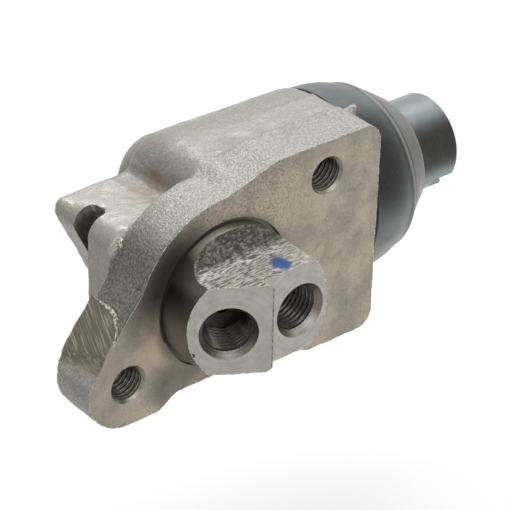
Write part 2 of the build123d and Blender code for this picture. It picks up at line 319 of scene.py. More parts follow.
def in_front(g, way, ripple):
    """How far a point lies in front of the bore's axis in a direction, and a ripple on it."""
    front = g.math("SUBTRACT", g.along(way), BORE_Y * way[1] + BORE_Z * way[2])
    return g.math("ADD", front, ripple)


def mottled(name, cells, light, dark, roughness, metallic, bite):
    """Two tones in soft patches, with a bite of a size and depth."""
    g = Graph(name)
    g.tone = g.blend(g.ramp(g.noise(*cells), 0.35, 0.65), light, dark)
    return g.finish(roughness, metallic, g.bump(g.noise(bite[0], 2, 0.5), bite[1]))


def cast_material():
    g = Graph("cast_iron")
    skin, saddle = g.attribute("skin"), g.attribute("saddle")
    grain = g.noise(0.44, 3, 0.62)
    fine = g.noise(0.4, 2, 0.55)
    smooth_skin = g.blend(g.ramp(fine, 0.34, 0.66), (182, 179, 170), (204, 202, 194))
    rough_skin = g.blend(g.ramp(grain, 0.36, 0.64), (170, 167, 159), (207, 205, 197))
    strokes = g.noise(0.36, 3, 0.6, (X, Y, Z), (4.5, 1, 1))
    milled = g.blend(g.ramp(strokes, 0.4, 0.6), (104, 101, 92), (217, 214, 205))
    # A painted highlight: a near-white band along the saddle's crown, broken by the strokes.
    ridge_highlight = g.times(g.ramp(g.along(Y), -7.6, -5.4), g.ramp(g.along(Y), -4.4, -3.0, 1, 0))
    ridge_highlight = g.times(ridge_highlight, g.ramp(strokes, 0.4, 0.58, 0, 0.9))
    milled = g.mix(ridge_highlight, milled, srgb(252, 250, 243))
    milled = g.mix(g.ramp(g.along(X), 3, 10, 0, 0.3), milled, srgb(236, 234, 226))
    g.tone = g.mix(saddle, g.mix(skin, smooth_skin, rough_skin), milled)
    g.coat(g.ramp(g.noise(6, 3, 0.6), 0.5, 0.75, 0, 0.35), (168, 162, 148))
    # Painted shade laid over the rim's left-facing side and the barrel.
    g.coat(g.times(g.attribute("painted_shade"), g.ramp(grain, 0.35, 0.7, 1, 0.55)), (98, 96, 88))
    # A brown stain with painted shade, mostly in the head's cove.
    g.coat(g.times(g.attribute("stain_and_shade"), g.ramp(g.noise(0.8, 4, 0.7), 0.36, 0.6, 0.45, 1)), (60, 50, 37))
    rust = g.spot((-1.2, 20.2, 16.6), 0.7, 0.6, 0.75, (0.35, 0.4, 0.8))
    g.coat(g.times(rust, g.ramp(g.noise(0.9, 3, 0.6), 0.3, 0.6, 0.4, 1)), (150, 92, 52))
    tint = g.spot((-3.0, 18.6, 14.6), 3.4, 3.0, 0.6, (0.8, 0.8, 1))
    g.coat(g.times(tint, g.ramp(g.noise(0.8, 4, 0.7), 0.4, 0.62, 0.25, 1)), (158, 132, 100))
    flash = g.spot((38.9, 8.8, 22.4), 1.5, 0.5, 0.7)
    g.coat(g.times(flash, g.ramp(grain, 0.4, 0.6, 1, 0.3)), (104, 92, 74))
    # Dark dots: painted shade of small pits on the flange's back edge and beside the lump.
    for place, size, scale in (
        ((3.83, 10.7, 21.1), 0.42, (0.6, 1.3, 0.8)),
        ((2.9, 10.8, 20.9), 0.3, (0.6, 1.3, 0.8)),
        ((14.32, 10.7, 23.7), 0.25, (1, 1, 1)),
        ((-16.9, 10.6, 11.3), 0.35, (1, 1, 1)),
    ):
        g.coat(g.spot(place, size, 0.12, 0.85, scale), (46, 42, 36))
    g.coat(g.times(g.attribute("paint"), g.ramp(grain, 0.2, 0.5, 0.8, 1)), (28, 88, 158))
    lumps = g.bump(strokes, 0.4, g.bump(grain, 0.24, None, skin), saddle)
    return g.finish(g.ramp(grain, 0.3, 0.7, 0.46, 0.3), 0.18, g.bump(fine, 0.07, lumps))


def machined_material():
    g = Graph("machined_face")
    mottle = g.noise(9, 5, 0.62)
    cloud = g.noise(3.2, 5, 0.68)
    speck = g.noise(0.5, 4, 0.72)
    g.tone = g.blend(g.ramp(mottle, 0.4, 0.6), (202, 190, 169), (172, 163, 148))
    g.coat(g.ramp(cloud, 0.5, 0.72, 0, 0.5), (206, 190, 163))
    g.coat(g.ramp(cloud, 0.3, 0.46, 0.6, 0), (144, 134, 117))
    dense = g.ramp(g.distance((4, 0, 19), (0.8, 1, 1)), 6, 17, 1.0, 0.3)
    g.coat(g.times(g.ramp(speck, 0.46, 0.64), g.times(dense, 0.75)), (112, 100, 82))
    g.coat(g.ramp(speck, 0.34, 0.46, 0.3, 0), (222, 212, 194))
    g.coat(g.ramp(g.along(X), -28, -17, 0.3, 0), (142, 134, 120))
    g.coat(g.spot((-16.5, 0, -6.5), 3.5, 3.0, 0.5), (206, 172, 140))
    # Painted shade round and to the left of the spigot.
    g.coat(g.times(g.attribute("stain_and_shade"), g.ramp(mottle, 0.25, 0.6, 0.9, 1)), (33, 31, 28))
    g.coat(g.spot((-2.45, 0, 18.3), 0.5, 0.3, 0.6, (1, 1, 1.7)), (96, 84, 66))
    return g.finish(g.ramp(mottle, 0.3, 0.7, 0.4, 0.52), 0.15, g.bump(g.noise(0.4, 2, 0.5), 0.014))


def turned_material():
    g = Graph("turned_side")
    height = g.along(Z)
    # Painted reflection and shade on the turned side: dark at mid height, lighter low down, bright over the
    # top and brightest towards -X.
    g.tone = g.blend(g.ramp(g.noise(3, 3, 0.6), 0.35, 0.65), (66, 64, 58), (54, 52, 47))
    g.coat(g.ramp(height, 6, 8.5), (106, 103, 94))
    bright = g.blend(g.ramp(g.along(X), -3.5, 2.5), (232, 228, 212), (142, 138, 127))
    g.tone = g.mix(g.ramp(height, 10.8, 13.2), g.tone, bright)
    g.coat(g.ramp(height, -2, 6, 1, 0), (156, 152, 140))
    g.coat(g.ramp(g.along(Y), -0.2, 0.1), (104, 98, 86))
    rings = g.noise(0.4, 1, 0.4, (X, Y, Z), (20, 1, 20))
    return g.finish(0.36, 0.35, g.bump(rings, 0.01), Specular_IOR_Level=0.35)


def port_face_material():
    g = Graph("port_face")
    g.tone = g.blend(g.ramp(g.noise(2.5, 4, 0.65), 0.35, 0.65), (205, 202, 194), (190, 187, 178))
    g.coat(g.ramp(g.noise(0.35, 2, 0.6), 0.66, 0.76, 0, 0.4), (120, 116, 106))
    rings = port_rings(g, 0.33, 3)
    g.shade(g.ramp(rings, 0.36, 0.64, 0.9, 1.07))
    g.coat(g.spot((-13.55, -7.7, -4.96), 0.42, 0.08, 0.95, (1, 1, 0.9)), (28, 24, 20))
    seam = g.times(g.ramp(g.along(X), -1.0, -0.72), g.ramp(g.along(Y), -14.9, -14.6, 1, 0))
    g.coat(g.times(seam, g.ramp(g.noise(0.8, 3, 0.7), 0.42, 0.6, 0.25, 1)), (72, 68, 60))
    return g.finish(0.38, 0.15, g.bump(rings, 0.02))


def ground_material():
    g = Graph("ground_facet")
    scratch_ways = ((-0.2855, -0.877, -0.386), (-0.522, 0.48, -0.706), FACET_NORMAL)
    lines = g.noise(0.3, 3, 0.65, scratch_ways, (30, 1, 1))
    broad = g.noise(0.8, 2, 0.6, scratch_ways, (18, 1, 1))
    g.tone = g.blend(g.ramp(lines, 0.48, 0.68), (122, 115, 101), (212, 207, 194))
    g.coat(g.ramp(broad, 0.5, 0.62, 0, 0.6), (112, 104, 90))
    ragged = g.math("ADD", g.along(DOWN_FACET), g.times(g.noise(1.4, 3, 0.6), 3.0))
    g.coat(g.ramp(ragged, 22.4, 23.6, 0, 0.8), (158, 150, 134))
    return g.finish(0.38, 0.3, g.bump(lines, 0.05))


def drilled_material(name, light, dark, metallic, crest=None):
    """The wall of a hole, with thread crests painted lighter as a highlight where their colour is given,
    brightest at two places.
    """
    g = Graph(name)
    cloud = g.noise(1.2, 4, 0.65)
    g.tone = g.blend(g.ramp(cloud, 0.35, 0.65), light, dark)
    if crest:
        # Painted highlights on the thread crests, brighter at two places.
        crest_highlight = srgb(*crest)
        for place, colour in (((12.2, -9.5, 1.5), (196, 192, 181)), ((-3.6, -9.4, -2.2), (150, 146, 136))):
            crest_highlight = g.mix(g.spot(place, 2.2, 1.6, 0.9), crest_highlight, srgb(*colour))
        on_crest = g.times(g.attribute("crest"), g.ramp(cloud, 0.35, 0.6, 1, 0.55))
        g.tone = g.mix(on_crest, g.tone, crest_highlight)
    return g.finish(0.3, metallic, g.bump(g.noise(0.25, 2, 0.5), 0.015))


def cone_material():
    g = Graph("seat_cone")
    g.tone = g.blend(g.ramp(g.noise(1.5, 3, 0.6), 0.35, 0.65), (150, 145, 134), (132, 126, 114))
    # Painted highlights: bright spots on the seat cones and the bolt holes' chamfers.
    for place, size, soft, strength in (
        ((-7.0, -10.2, -5.3), 1.7, 1.6, 0.75),
        ((10.6, -12.1, -4.6), 1.6, 1.4, 0.65),
        ((7.4, -12.1, -5.4), 1.3, 1.2, 0.55),
        ((26.4, 0.2, 13.5), 1.3, 1.2, 0.5),
        ((-21.4, 0.2, -14.9), 1.3, 1.2, 0.4),
    ):
        g.coat(g.spot(place, size, soft, strength), (240, 238, 230))
    for place in ((-11.2, -8.6, -3.6), (3.2, -12.3, -2.4)):
        g.coat(g.spot(place, 1.6, 1.4, 0.6), (92, 80, 64))
    turns = port_rings(g, 0.22, 2)
    g.shade(g.ramp(turns, 0.35, 0.65, 0.86, 1.1))
    return g.finish(0.26, 0.5, g.bump(turns, 0.02))


def bright_material():
    g = Graph("bright_edge")
    g.tone = g.blend(g.ramp(g.noise(0.5, 2, 0.65), 0.38, 0.6), (246, 243, 234), (150, 142, 126))
    return g.finish(0.3, 0.4, g.bump(g.noise(0.35, 2, 0.6), 0.1))


def rubber_material():
    g = Graph("boot_rubber")
    cloud = g.noise(7, 4, 0.6)
    out = g.along(X)
    # Painted reflection: dark on the side that faces along (0, -0.819, 0.574), lighter away from it.
    front = in_front(g, (0, -0.819, 0.574), g.times(g.noise(5, 3, 0.6), 2.0))
    g.tone = g.blend(g.ramp(front, 15.2, 20.2), (118, 122, 122), (27, 28, 26))
    # Painted reflection: lighter towards the bottom, also on the small end.
    low = g.times(g.ramp(g.along(Z), -11, 5, 1, 0), 0.82)
    g.coat(low, (172, 174, 170))
    g.coat(g.ramp(cloud, 0.5, 0.7, 0, 0.25), (70, 74, 75))
    small_end = g.blend(low, (120, 120, 116), (196, 196, 190))
    g.tone = g.mix(g.ramp(out, 51.2, 52.0, 0, 0.75), g.tone, small_end)
    # A painted highlight on the raised ring.
    ridge_highlight = g.times(g.ramp(out, 49.7, 50.1), g.ramp(out, 50.55, 50.8, 1, 0))
    g.coat(g.times(ridge_highlight, 0.7), (170, 171, 166))
    # Painted shade in the groove after the raised ring.
    fold_shade = g.times(g.ramp(out, 50.6, 50.85), g.ramp(out, 51.4, 51.9, 1, 0))
    g.coat(g.times(fold_shade, 0.7), (64, 64, 60))
    g.coat(g.ramp(out, 56.2, 57.6, 0, 0.7), (160, 160, 154))
    g.coat(g.ramp(g.noise(0.9, 4, 0.7), 0.58, 0.8, 0, 0.3), (140, 141, 137))
    for place, size in (((44, 0.6, 11.5), 0.3), ((46, 1.4, 9.5), 0.3), ((43, -0.1, 4.0), 0.22)):
        g.coat(g.spot(place, size, 0.15, 0.6), (190, 180, 168))
    bite = g.bump(g.noise(0.4, 3, 0.55), 0.012)
    return g.finish(g.ramp(cloud, 0.3, 0.7, 0.3, 0.42), 0.0, bite, Specular_IOR_Level=0.3)


def oxide_material():
    g = Graph("blackened_steel")
    cloud = g.noise(3, 4, 0.6)
    rings = g.noise(0.3, 2, 0.5, (X, Y, Z), (1, 30, 30))
    # Painted reflection: dark on the side that faces along (0, -0.926, 0.375), light blue-grey elsewhere.
    front = in_front(g, (0, -0.926, 0.375), g.times(cloud, 0.6))
    g.tone = g.blend(g.ramp(front, 7.4, 9.9), (146, 154, 156), (42, 41, 37))
    g.coat(g.ramp(cloud, 0.5, 0.7, 0, 0.25), (96, 101, 102))
    g.coat(g.ramp(rings, 0.5, 0.8, 0, 0.12), (130, 134, 134))
    return g.finish(g.ramp(cloud, 0.3, 0.7, 0.26, 0.34), 0.35, g.bump(rings, 0.004))


def plain_metal(name, light, dark):
    return mottled(name, (1.5, 3, 0.6), light, dark, 0.35, 0.9, (0.3, 0.008))


MATS = {
    "cast": cast_material(),
    "machined": machined_material(),
    "turned": turned_material(),
    "port": port_face_material(),
    "ground": ground_material(),
    "rim": bright_material(),
    "slot": mottled("slot_wall", (2, 4, 0.6), (146, 141, 131), (116, 111, 101), 0.5, 0.1, (0.4, 0.02)),
    "cone": cone_material(),
    # Port and bolt hole walls are coloured darker than the metal: painted shade inside the holes.
    "port_wall": drilled_material("port_wall", (46, 43, 38), (31, 28, 24), 0.4, (80, 76, 68)),
    "port_end": drilled_material("port_end", (124, 120, 111), (92, 88, 80), 0.2),
    "bolt_wall": drilled_material("bolt_wall", (92, 88, 79), (66, 61, 53), 0.4, (176, 171, 159)),
    "bore": drilled_material("bore_wall", (190, 188, 180), (160, 157, 148), 0.6),
}
KINDS = list(MATS)


def off_axis(p, hole):
    """Distance from a hole's axis, and depth below its mouth."""
    d = p - hole[0]
    depth = -d.dot(hole[1])
    return (d + depth * hole[1]).length, depth


def kind_of(p, n):
    """Which surface of the casting a face at p with normal n belongs to."""
    for port in PORTS:
        r, depth = off_axis(p, port)
        if r < CONE_MOUTH + 0.01 and 0.02 < depth < CONE_DEPTH + 0.022:
            return "cone"
        if r < PORT_ROOT + 0.1 and 2.2 < depth and p.y < 16:
            return "port_end" if depth > PORT_DEPTH - 0.1 and r > DRILLING_R + 0.1 else "port_wall"
    for bolt in BOLTS:
        r, depth = off_axis(p, bolt)
        if r < BOLT_ROOT + 0.08 and 0.01 < depth < BOLT_DEPTH + 0.6:
            return "cone" if depth < BOLT_CONE and r > BOLT_CREST - 0.05 else "bolt_wall"
    r = math.hypot(p.x, p.z)
    if abs(p.y) < 0.02 and n.y < -0.9 and r > SPIGOT_R + 0.5:
        return "machined"
    for mouth, way in PORTS:
        if n.dot(way) > 0.999 and abs((p - mouth).dot(way)) < 0.05:
            return "port"
    if STEP_X - 1.25 < p.x < STEP_X + 0.02 and p.y < SQUARE_Y and HEAD_BOTTOM < p.z < HEAD_TOP:
        return "port"
    round_wall = abs(n.y) < 0.1 and (n.x * p.x + n.z * p.z) / max(r, 1) > 0.9
    if SPIGOT_R - 0.3 < r < SPIGOT_R + 1.0 and HEAD_FRONT < p.y < GROOVE_FLOOR:
        if round_wall or p.y > 0.01 or (n.y < -0.99 and abs(p.y - SHOULDER_Y) < 0.02):
            return "turned"
    facet = p.dot(FACET_NORMAL)
    if p.x < -20 and p.y < FLANGE_BACK and p.z < 5:
        if n.dot(FACET_NORMAL) > 0.995 and facet > LUG_SIDE_AT + 0.2:
            return "ground"
        if abs(n.dot(FACET_NORMAL)) < 0.3 and LUG_SIDE_AT + 0.03 < facet < FACET_AT and p.y > 0.02:
            return "rim"
    bore_r = math.hypot(p.y - BORE_Y, p.z - BORE_Z)
    if p.x > NECK_X and bore_r < NECK_R:
        return "turned" if bore_r > BORE_RIM_R else "bore"
    if bore_r < BORE_WALL and BORE_END < p.x < NECK_FLOOR + 0.2:
        return "bore"
    if abs(p.y - BORE_Y) < SLOT_HALF and EAR_X < p.x < EAR_ROOT_X and abs(n.dot(SLOT_UP)) < 0.2:
        return "slot"
    return "cast"


def seen_little(p):
    """Whether a place is inside the bore or deep in a hole, where coarse faces do."""
    if math.hypot(p.y - BORE_Y, p.z - BORE_Z) < 12 and BORE_END < p.x < NECK_FLOOR:
        return True
    near_holes = (off_axis(p, hole) for hole in PORTS + BOLTS)
    return p.y < 13 and any(r < PORT_ROOT + 0.1 and depth > 0.6 for r, depth in near_holes)


def moved_to(p, hole, radius, depth):
    """The place at a radius and a depth of a hole that is in line with p."""
    mouth, way = hole
    radial = (p - mouth + off_axis(p, hole)[1] * way).normalized()
    return mouth + radial * radius - way * depth


def grow_ring(bm, ring, hole, radius, inward):
    """A copy of a hole's ring of vertices on another radius, moved down the hole."""
    made = []
    for v in ring:
        depth = off_axis(v.co / MM, hole)[1] + inward
        made.append(bm.verts.new(moved_to(v.co / MM, hole, radius, depth) * MM))
    return made


def open_rings(bm):
    """The open borders of a mesh, each as its vertices in order."""
    bm.edges.index_update()
    left = {e for e in bm.edges if e.is_boundary}
    rings = []
    for first in sorted(left, key=lambda e: e.index):
        if first not in left:
            continue
        ring, step = [first.verts[0]], first
        while step is not None:
            left.remove(step)
            ring.append(step.other_vert(ring[-1]))
            step = next((e for e in ring[-1].link_edges if e in left), None)
        rings.append(ring[:-1])
    return rings


def bridge(bm, ring_a, ring_b):
    """Faces between two rings of equal count, in step."""
    for i in range(len(ring_a)):
        j = (i + 1) % len(ring_a)
        bm.faces.new((ring_a[i], ring_a[j], ring_b[j], ring_b[i]))


def mean_depth(ring, hole):
    return sum(off_axis(v.co / MM, hole)[1] for v in ring) / len(ring)


def cone_depth(radius):
    """How deep a port's seating cone lies at a radius."""
    return (CONE_MOUTH - radius) / (CONE_MOUTH - CONE_FOOT) * CONE_DEPTH


def open_for_thread(bm, hole, crest, root, start, end):
    """Set a tapped hole's wall back between start and end, so a thread piece fits in it."""
    walls = []
    for f in bm.faces:
        r, depth = off_axis(f.calc_center_median() / MM, hole)
        if abs(r - crest) < 0.12 and start - 0.1 < depth < end + 0.1:
            if abs(f.normal.dot(hole[1])) < 0.1:
                walls.append(f)
    bmesh.ops.delete(bm, geom=walls, context="FACES")
    order = sorted(open_rings(bm), key=lambda ring: mean_depth(ring, hole))
    front, rear = order[0], order[-1]
    lip, step = root - 0.05, 0.08
    if crest == CONE_FOOT:
        for v in front:
            v.co = moved_to(v.co / MM, hole, lip, cone_depth(lip)) * MM
    step_a = grow_ring(bm, front, hole, root, step)
    step_b = grow_ring(bm, rear, hole, root, -step)
    bridge(bm, front, step_a)
    bridge(bm, rear, step_b)
    rings = []
    for ring in (step_a, step_b):
        rings += [bm.edges.get((ring[i], ring[(i + 1) % len(ring)])) for i in range(len(ring))]
    bmesh.ops.bridge_loops(bm, edges=rings)
    bmesh.ops.recalc_face_normals(bm, faces=bm.faces)
    return mean_depth(front, hole), mean_depth(rear, hole)


def smooth_noise(p, size, seed):
    return noise.noise((p + Vector((seed, seed * 1.7, -seed))) / size)


def fade(value, start, end):
    """A smooth way from nought at the start to one at the end; the start may be the larger."""
    t = min(max((value - start) / (end - start), 0), 1)
    return t * t * (3 - 2 * t)


def plane_regions(bm):
    """Lists of joined faces that lie in one plane, each with its largest face first."""
    label, regions = {}, []
    for seed in sorted(bm.faces, key=lambda f: -f.calc_area()):
        if seed in label:
            continue
        n, at = seed.normal.copy(), seed.verts[0].co.copy()
        group = [seed]
        label[seed] = len(regions)
        for f in group:
            for e in f.edges:
                for g in e.link_faces:
                    if g not in label and all(abs((v.co - at).dot(n)) < 2e-6 for v in g.verts):
                        if g.normal.dot(n) > 0.5 or g.calc_area() < 1e-8:
                            label[g] = len(regions)
                            group.append(g)
        regions.append(group)
    return label, regions


def inside(q, seg):
    """Which points q are inside the outline made of the segments."""
    (ax, ay), (bx, by) = seg[:, 0].T, seg[:, 1].T
    run = np.where(by == ay, 1, by - ay)
    out = np.zeros(len(q), bool)
    for i in range(0, len(q), 2000):
        x, y = q[i : i + 2000, :1], q[i : i + 2000, 1:]
        crossed = ((ay > y) != (by > y)) & (x < ax + (y - ay) * (bx - ax) / run)
        out[i : i + 2000] = crossed.sum(axis=1) % 2 == 1
    return out


def hex_points(ring, seg, limit):
    """A grid of points inside an outline, clear of its border."""
    low, high = ring.min(axis=0), ring.max(axis=0)
    grid = [np.zeros((0, 2))]
    for i, y in enumerate(np.arange(low[1], high[1], limit * 0.866)):
        row = np.arange(low[0] + (i % 2) * limit / 2, high[0], limit)
        grid.append(np.stack([row, np.full_like(row, y)], 1))
    q = np.concatenate(grid)
    q = q[inside(q, seg)]
    near = [np.min(np.sum((ring - p) ** 2, axis=1)) for p in q]
    return q[np.array(near) > (0.6 * limit) ** 2]


def inner_faces(faces, fixed):
    """The triangles inside an outline, told by crossing the outline's edges from outside."""
    owners = {}
    for k, (a, b, c) in enumerate(faces):
        for edge in ((a, b), (b, c), (c, a)):
            owners.setdefault(tuple(sorted(edge)), []).append(k)
    links, inner = {}, {}
    for edge, pair in owners.items():
        if len(pair) == 1:
            inner[pair[0]] = edge in fixed
        else:
            links.setdefault(pair[0], []).append((pair[1], edge in fixed))
            links.setdefault(pair[1], []).append((pair[0], edge in fixed))
    stack = list(inner)
    while stack:
        k = stack.pop()
        for other, crossed in links.get(k, ()):
            if other not in inner:
                inner[other] = inner[k] != crossed
                stack.append(other)
    return [f for k, f in enumerate(faces) if inner[k]]


def cut_borders(bm, label, points, limit):
    """Cut the edges between regions into short ones; the new points join the list."""
    cut = {}
    for e in bm.edges:
        f, g = e.link_faces
        if label[f] == label[g]:
            continue
        a, b = e.verts[0].co / MM, e.verts[1].co / MM
        n = 1 if seen_little((a + b) / 2) else max(1, math.ceil((b - a).length / limit))
        chain = [e.verts[0].index]
        for k in range(1, n):
            points.append(a.lerp(b, k / n))
            chain.append(len(points) - 1)
        cut[e.index] = chain + [e.verts[1].index]
    return cut


def retile(bm, limit):
    """The surface again with even triangles: each plane region by itself, borders shared."""
    label, regions = plane_regions(bm)
    bm.verts.index_update()
    bm.edges.index_update()
    points = [v.co / MM for v in bm.verts]
    cut = cut_borders(bm, label, points, limit)
    triangles, kinds = [], []
    for group in regions:
        n = group[0].normal
        centre = group[0].calc_center_median() / MM
        u = n.orthogonal().normalized()
        w = n.cross(u)
        pairs = []
        for f in group:
            for e in f.edges:
                if e.index in cut:
                    pairs += list(zip(cut[e.index][:-1], cut[e.index][1:]))
        ids = sorted({i for p in pairs for i in p})
        if len(ids) < 3:
            continue
        at = {i: k for k, i in enumerate(ids)}
        ring = np.array([(points[i].dot(u), points[i].dot(w)) for i in ids])
        edges = [(at[a], at[b]) for a, b in pairs]
        seg = ring[np.array(edges)]
        extra = np.zeros((0, 2)) if seen_little(centre) else hex_points(ring, seg, limit)
        flat = np.concatenate([ring, extra])
        lift = centre.dot(n)
        out = delaunay_2d_cdt([Vector(p) for p in flat], edges, [], 0, 1e-5, True)
        fixed = {tuple(sorted(e)) for e, origins in zip(out[1], out[4]) if origins}
        names = []
        for k, origins in enumerate(out[3]):
            if origins and min(origins) < len(ids):
                names.append(ids[min(origins)])
            else:
                x, y = out[0][k]
                points.append(u * x + w * y + n * lift)
                names.append(len(points) - 1)
        spots = np.array([tuple(p) for p in out[0]])
        kind = KINDS.index(kind_of(centre, n))
        for a, b, c in inner_faces(out[2], fixed):
            pa, pb, pc = spots[a], spots[b], spots[c]
            turn = (pb[0] - pa[0]) * (pc[1] - pa[1]) - (pb[1] - pa[1]) * (pc[0] - pa[0])
            tri = (names[a], names[b], names[c]) if turn > 0 else (names[a], names[c], names[b])
            if len(set(tri)) == 3:
                triangles.append(tri)
                kinds.append(kind)
    return np.array([tuple(p) for p in points]), np.array(triangles), np.array(kinds)


def edge_table(tri):
    """Each edge's two vertices and its two faces."""
    every = np.sort(np.concatenate([tri[:, [0, 1]], tri[:, [1, 2]], tri[:, [2, 0]]]), axis=1)
    edges, where, counts = np.unique(every, axis=0, return_inverse=True, return_counts=True)
    face = np.tile(np.arange(len(tri)), 3)[np.argsort(where.ravel(), kind="stable")]
    start = np.concatenate([[0], np.cumsum(counts)[:-1]])
    whole = counts == 2
    return edges[whole], np.stack([face[start[whole]], face[start[whole] + 1]], 1)


def face_normals(co, tri):
    """Each triangle's normal, and twice its area."""
    n = np.cross(co[tri[:, 1]] - co[tri[:, 0]], co[tri[:, 2]] - co[tri[:, 0]])
    size = np.linalg.norm(n, axis=1)
    return n / np.maximum(size, 1e-12)[:, None], size


def turn_cosines(co, tri, sides):
    """The cosine of the turn between the two faces of each edge."""
    normals = face_normals(co, tri)[0]
    return np.einsum("ij,ij->i", normals[sides[:, 0]], normals[sides[:, 1]])


def relax(co, edges, mask, rounds):
    """Move the masked points half way to the middle of their neighbours."""
    for _ in range(rounds):
        total, count = np.zeros_like(co), np.zeros(len(co))
        for a, b in ((0, 1), (1, 0)):
            np.add.at(total, edges[:, a], co[edges[:, b]])
            np.add.at(count, edges[:, a], 1)
        middle = total / np.maximum(count, 1)[:, None]
        co[mask] += (middle[mask] - co[mask]) / 2


def grow(mask, edges, rounds):
    """The mask with its neighbours, a number of times."""
    mask = mask.copy()
    for _ in range(rounds):
        touched = mask[edges[:, 0]] | mask[edges[:, 1]]
        mask[edges[touched].ravel()] = True
    return mask


# The casting
TILE = 0.58  # about the longest side of a triangle
bm = bmesh.new()
bm.from_mesh(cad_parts["cylinder_body"].data)
bmesh.ops.remove_doubles(bm, verts=bm.verts, dist=2e-6)
bmesh.ops.recalc_face_normals(bm, faces=bm.faces)
THREADS = []
for hole, crest, root, start, end in (
    (PORTS[0], CONE_FOOT, PORT_ROOT, CONE_DEPTH + 0.002, PORT_DEPTH),
    (PORTS[1], CONE_FOOT, PORT_ROOT, CONE_DEPTH + 0.002, PORT_DEPTH),
    (BOLTS[0], BOLT_CREST, BOLT_ROOT, BOLT_CONE, BOLT_DEPTH),
    (BOLTS[1], BOLT_CREST, BOLT_ROOT, BOLT_CONE, FLANGE_BACK),
):
    THREADS.append((hole, crest, root, *open_for_thread(bm, hole, crest, root, start, end)))
bmesh.ops.triangulate(bm, faces=[f for f in bm.faces if len(f.verts) > 3])
co, tri, kind = retile(bm, TILE)
bm.free()

edges, sides = edge_table(tri)
CAST = KINDS.index("cast")
# Cosines of turns: of a sharp edge, a sharp border and a border with a burr
SHARP_TURN, HARD_TURN, BURR_TURN = (math.cos(math.radians(a)) for a in (24, 12, 15))
not_cast = np.zeros(len(co), bool)
not_cast[tri[kind != CAST].ravel()] = True
turn = turn_cosines(co, tri, sides)
both_cast = (kind[sides] == CAST).all(axis=1)
crease = both_cast & (turn < SHARP_TURN)
soft = np.zeros(len(co), bool)
soft[edges[crease].ravel()] = True
soft &= ~not_cast
relax(co, edges, grow(soft, edges, 2) & ~not_cast, 5)
on_ear = (co[:, 0] < -8) & (co[:, 1] > FLANGE_BACK + 1.2) & (co[:, 2] > -11.5)
relax(co, edges, grow(soft & on_ear, edges, 3) & ~not_cast & on_ear, 2)

# Small departures of the casting from its plain solid, read off the photo
EAR_TIP_R = 1.8
BARREL_LEAN, BARREL_TAPER = 1.3, 0.3
EDGE_RISE, OUTLINE_SHIFT = 2.6, 0.28


def rounded_square(way, radius):
    """How far the corner reaches in a direction when it is rounded to a smaller radius."""
    a, b = abs(way[0]), abs(way[1])
    flat, s = CORNER_R / max(a, b), CORNER_R - radius
    if flat * min(a, b) <= s:
        return flat
    half = (a + b) * s
    return half + math.sqrt(half * half - 2 * s * s + radius * radius)


def nudge(p):
    """How a point of the casting's surface moves."""
    v = Vector((0, 0, 0))
    if p.x < EAR_CORNER[0] and p.z > EAR_CORNER[1] and p.y > 22:
        d = Vector((p.x - EAR_CORNER[0], 0, p.z - EAR_CORNER[1]))
        if d.length > 1e-6:
            far = rounded_square((d.x / d.length, d.z / d.length), EAR_TIP_R)
            v += d * (far / CORNER_R - 1) * fade(p.y, 22.5, 28) * min(d.length / CORNER_R, 1) ** 2
    if p.y > 32:
        v.x += BARREL_LEAN * fade(p.y, 32, 36) * fade(p.x, 12, 4)
    if p.y > 20 and math.hypot(p.y - BORE_Y, p.z - BORE_Z) > 19.5:
        v -= Vector((0, p.y - BORE_Y, p.z - BORE_Z)).normalized() * BARREL_TAPER * fade(p.x, 8, 36)
    if -0.05 < p.y < FLANGE_BACK + 0.05:
        clear = fade(math.hypot(p.x, p.z), 15.6, 18)
        rise = fade(-p.z, 12, 21) * fade(p.x, 21.5, 16.5) * fade(p.x, 2, 9)
        v.z += EDGE_RISE * clear * rise
        if FLANGE_END - 0.5 < p.x < FLANGE_END:
            v.x -= OUTLINE_SHIFT * fade(-p.z, -6, 2)
        if p.x < -8 and p.z < -6:
            lug = BOLTS[1][0]
            d = Vector((p.x - lug.x, 0, p.z - lug.z))
            v += d.normalized() * OUTLINE_SHIFT * fade(d.length, 5, 8) * fade(d.length, 13, 9.5)
    return v


for i in range(len(co)):
    co[i] += np.array(nudge(Vector(co[i])))

# The flash at the flange's corner, and the fading lower end of the ground stub
FLASH_Y, FLASH_THICKNESS = 8.9, 0.72
on_flash = (co[:, 0] > 36.2) & (co[:, 2] > FLANGE_CORNER[1]) & (co[:, 1] > 7) & (co[:, 1] < 10.4)
for i in np.nonzero(on_flash)[0]:
    x, y, z = co[i]
    run = Vector((x - FLANGE_CORNER[0], 0, z - FLANGE_CORNER[1]))
    if x < FLANGE_END - 0.15 and run.length > CORNER_R + 0.02:
        co[i, 0] = FLANGE_CORNER[0] + run.x / run.length * CORNER_R
        co[i, 2] = FLANGE_CORNER[1] + run.z / run.length * CORNER_R
    elif x > FLANGE_END + 0.05:
        co[i, 1] = FLASH_Y + (y - FLASH_Y) * FLASH_THICKNESS
        co[i, 2] += 0.35 * fade(x, FLANGE_END, 39.8)
facet_out = co @ np.array(FACET_NORMAL) - LUG_SIDE_AT
down = co @ np.array(DOWN_FACET) + 3.1
proud = (facet_out > 0.02) & (co[:, 0] < -24) & (co[:, 1] < FLANGE_BACK + 0.1) & (co[:, 2] < 0)
for i in np.nonzero(proud)[0]:
    co[i] -= np.array(FACET_NORMAL) * facet_out[i] * fade(down[i], 21.5, 25.0)

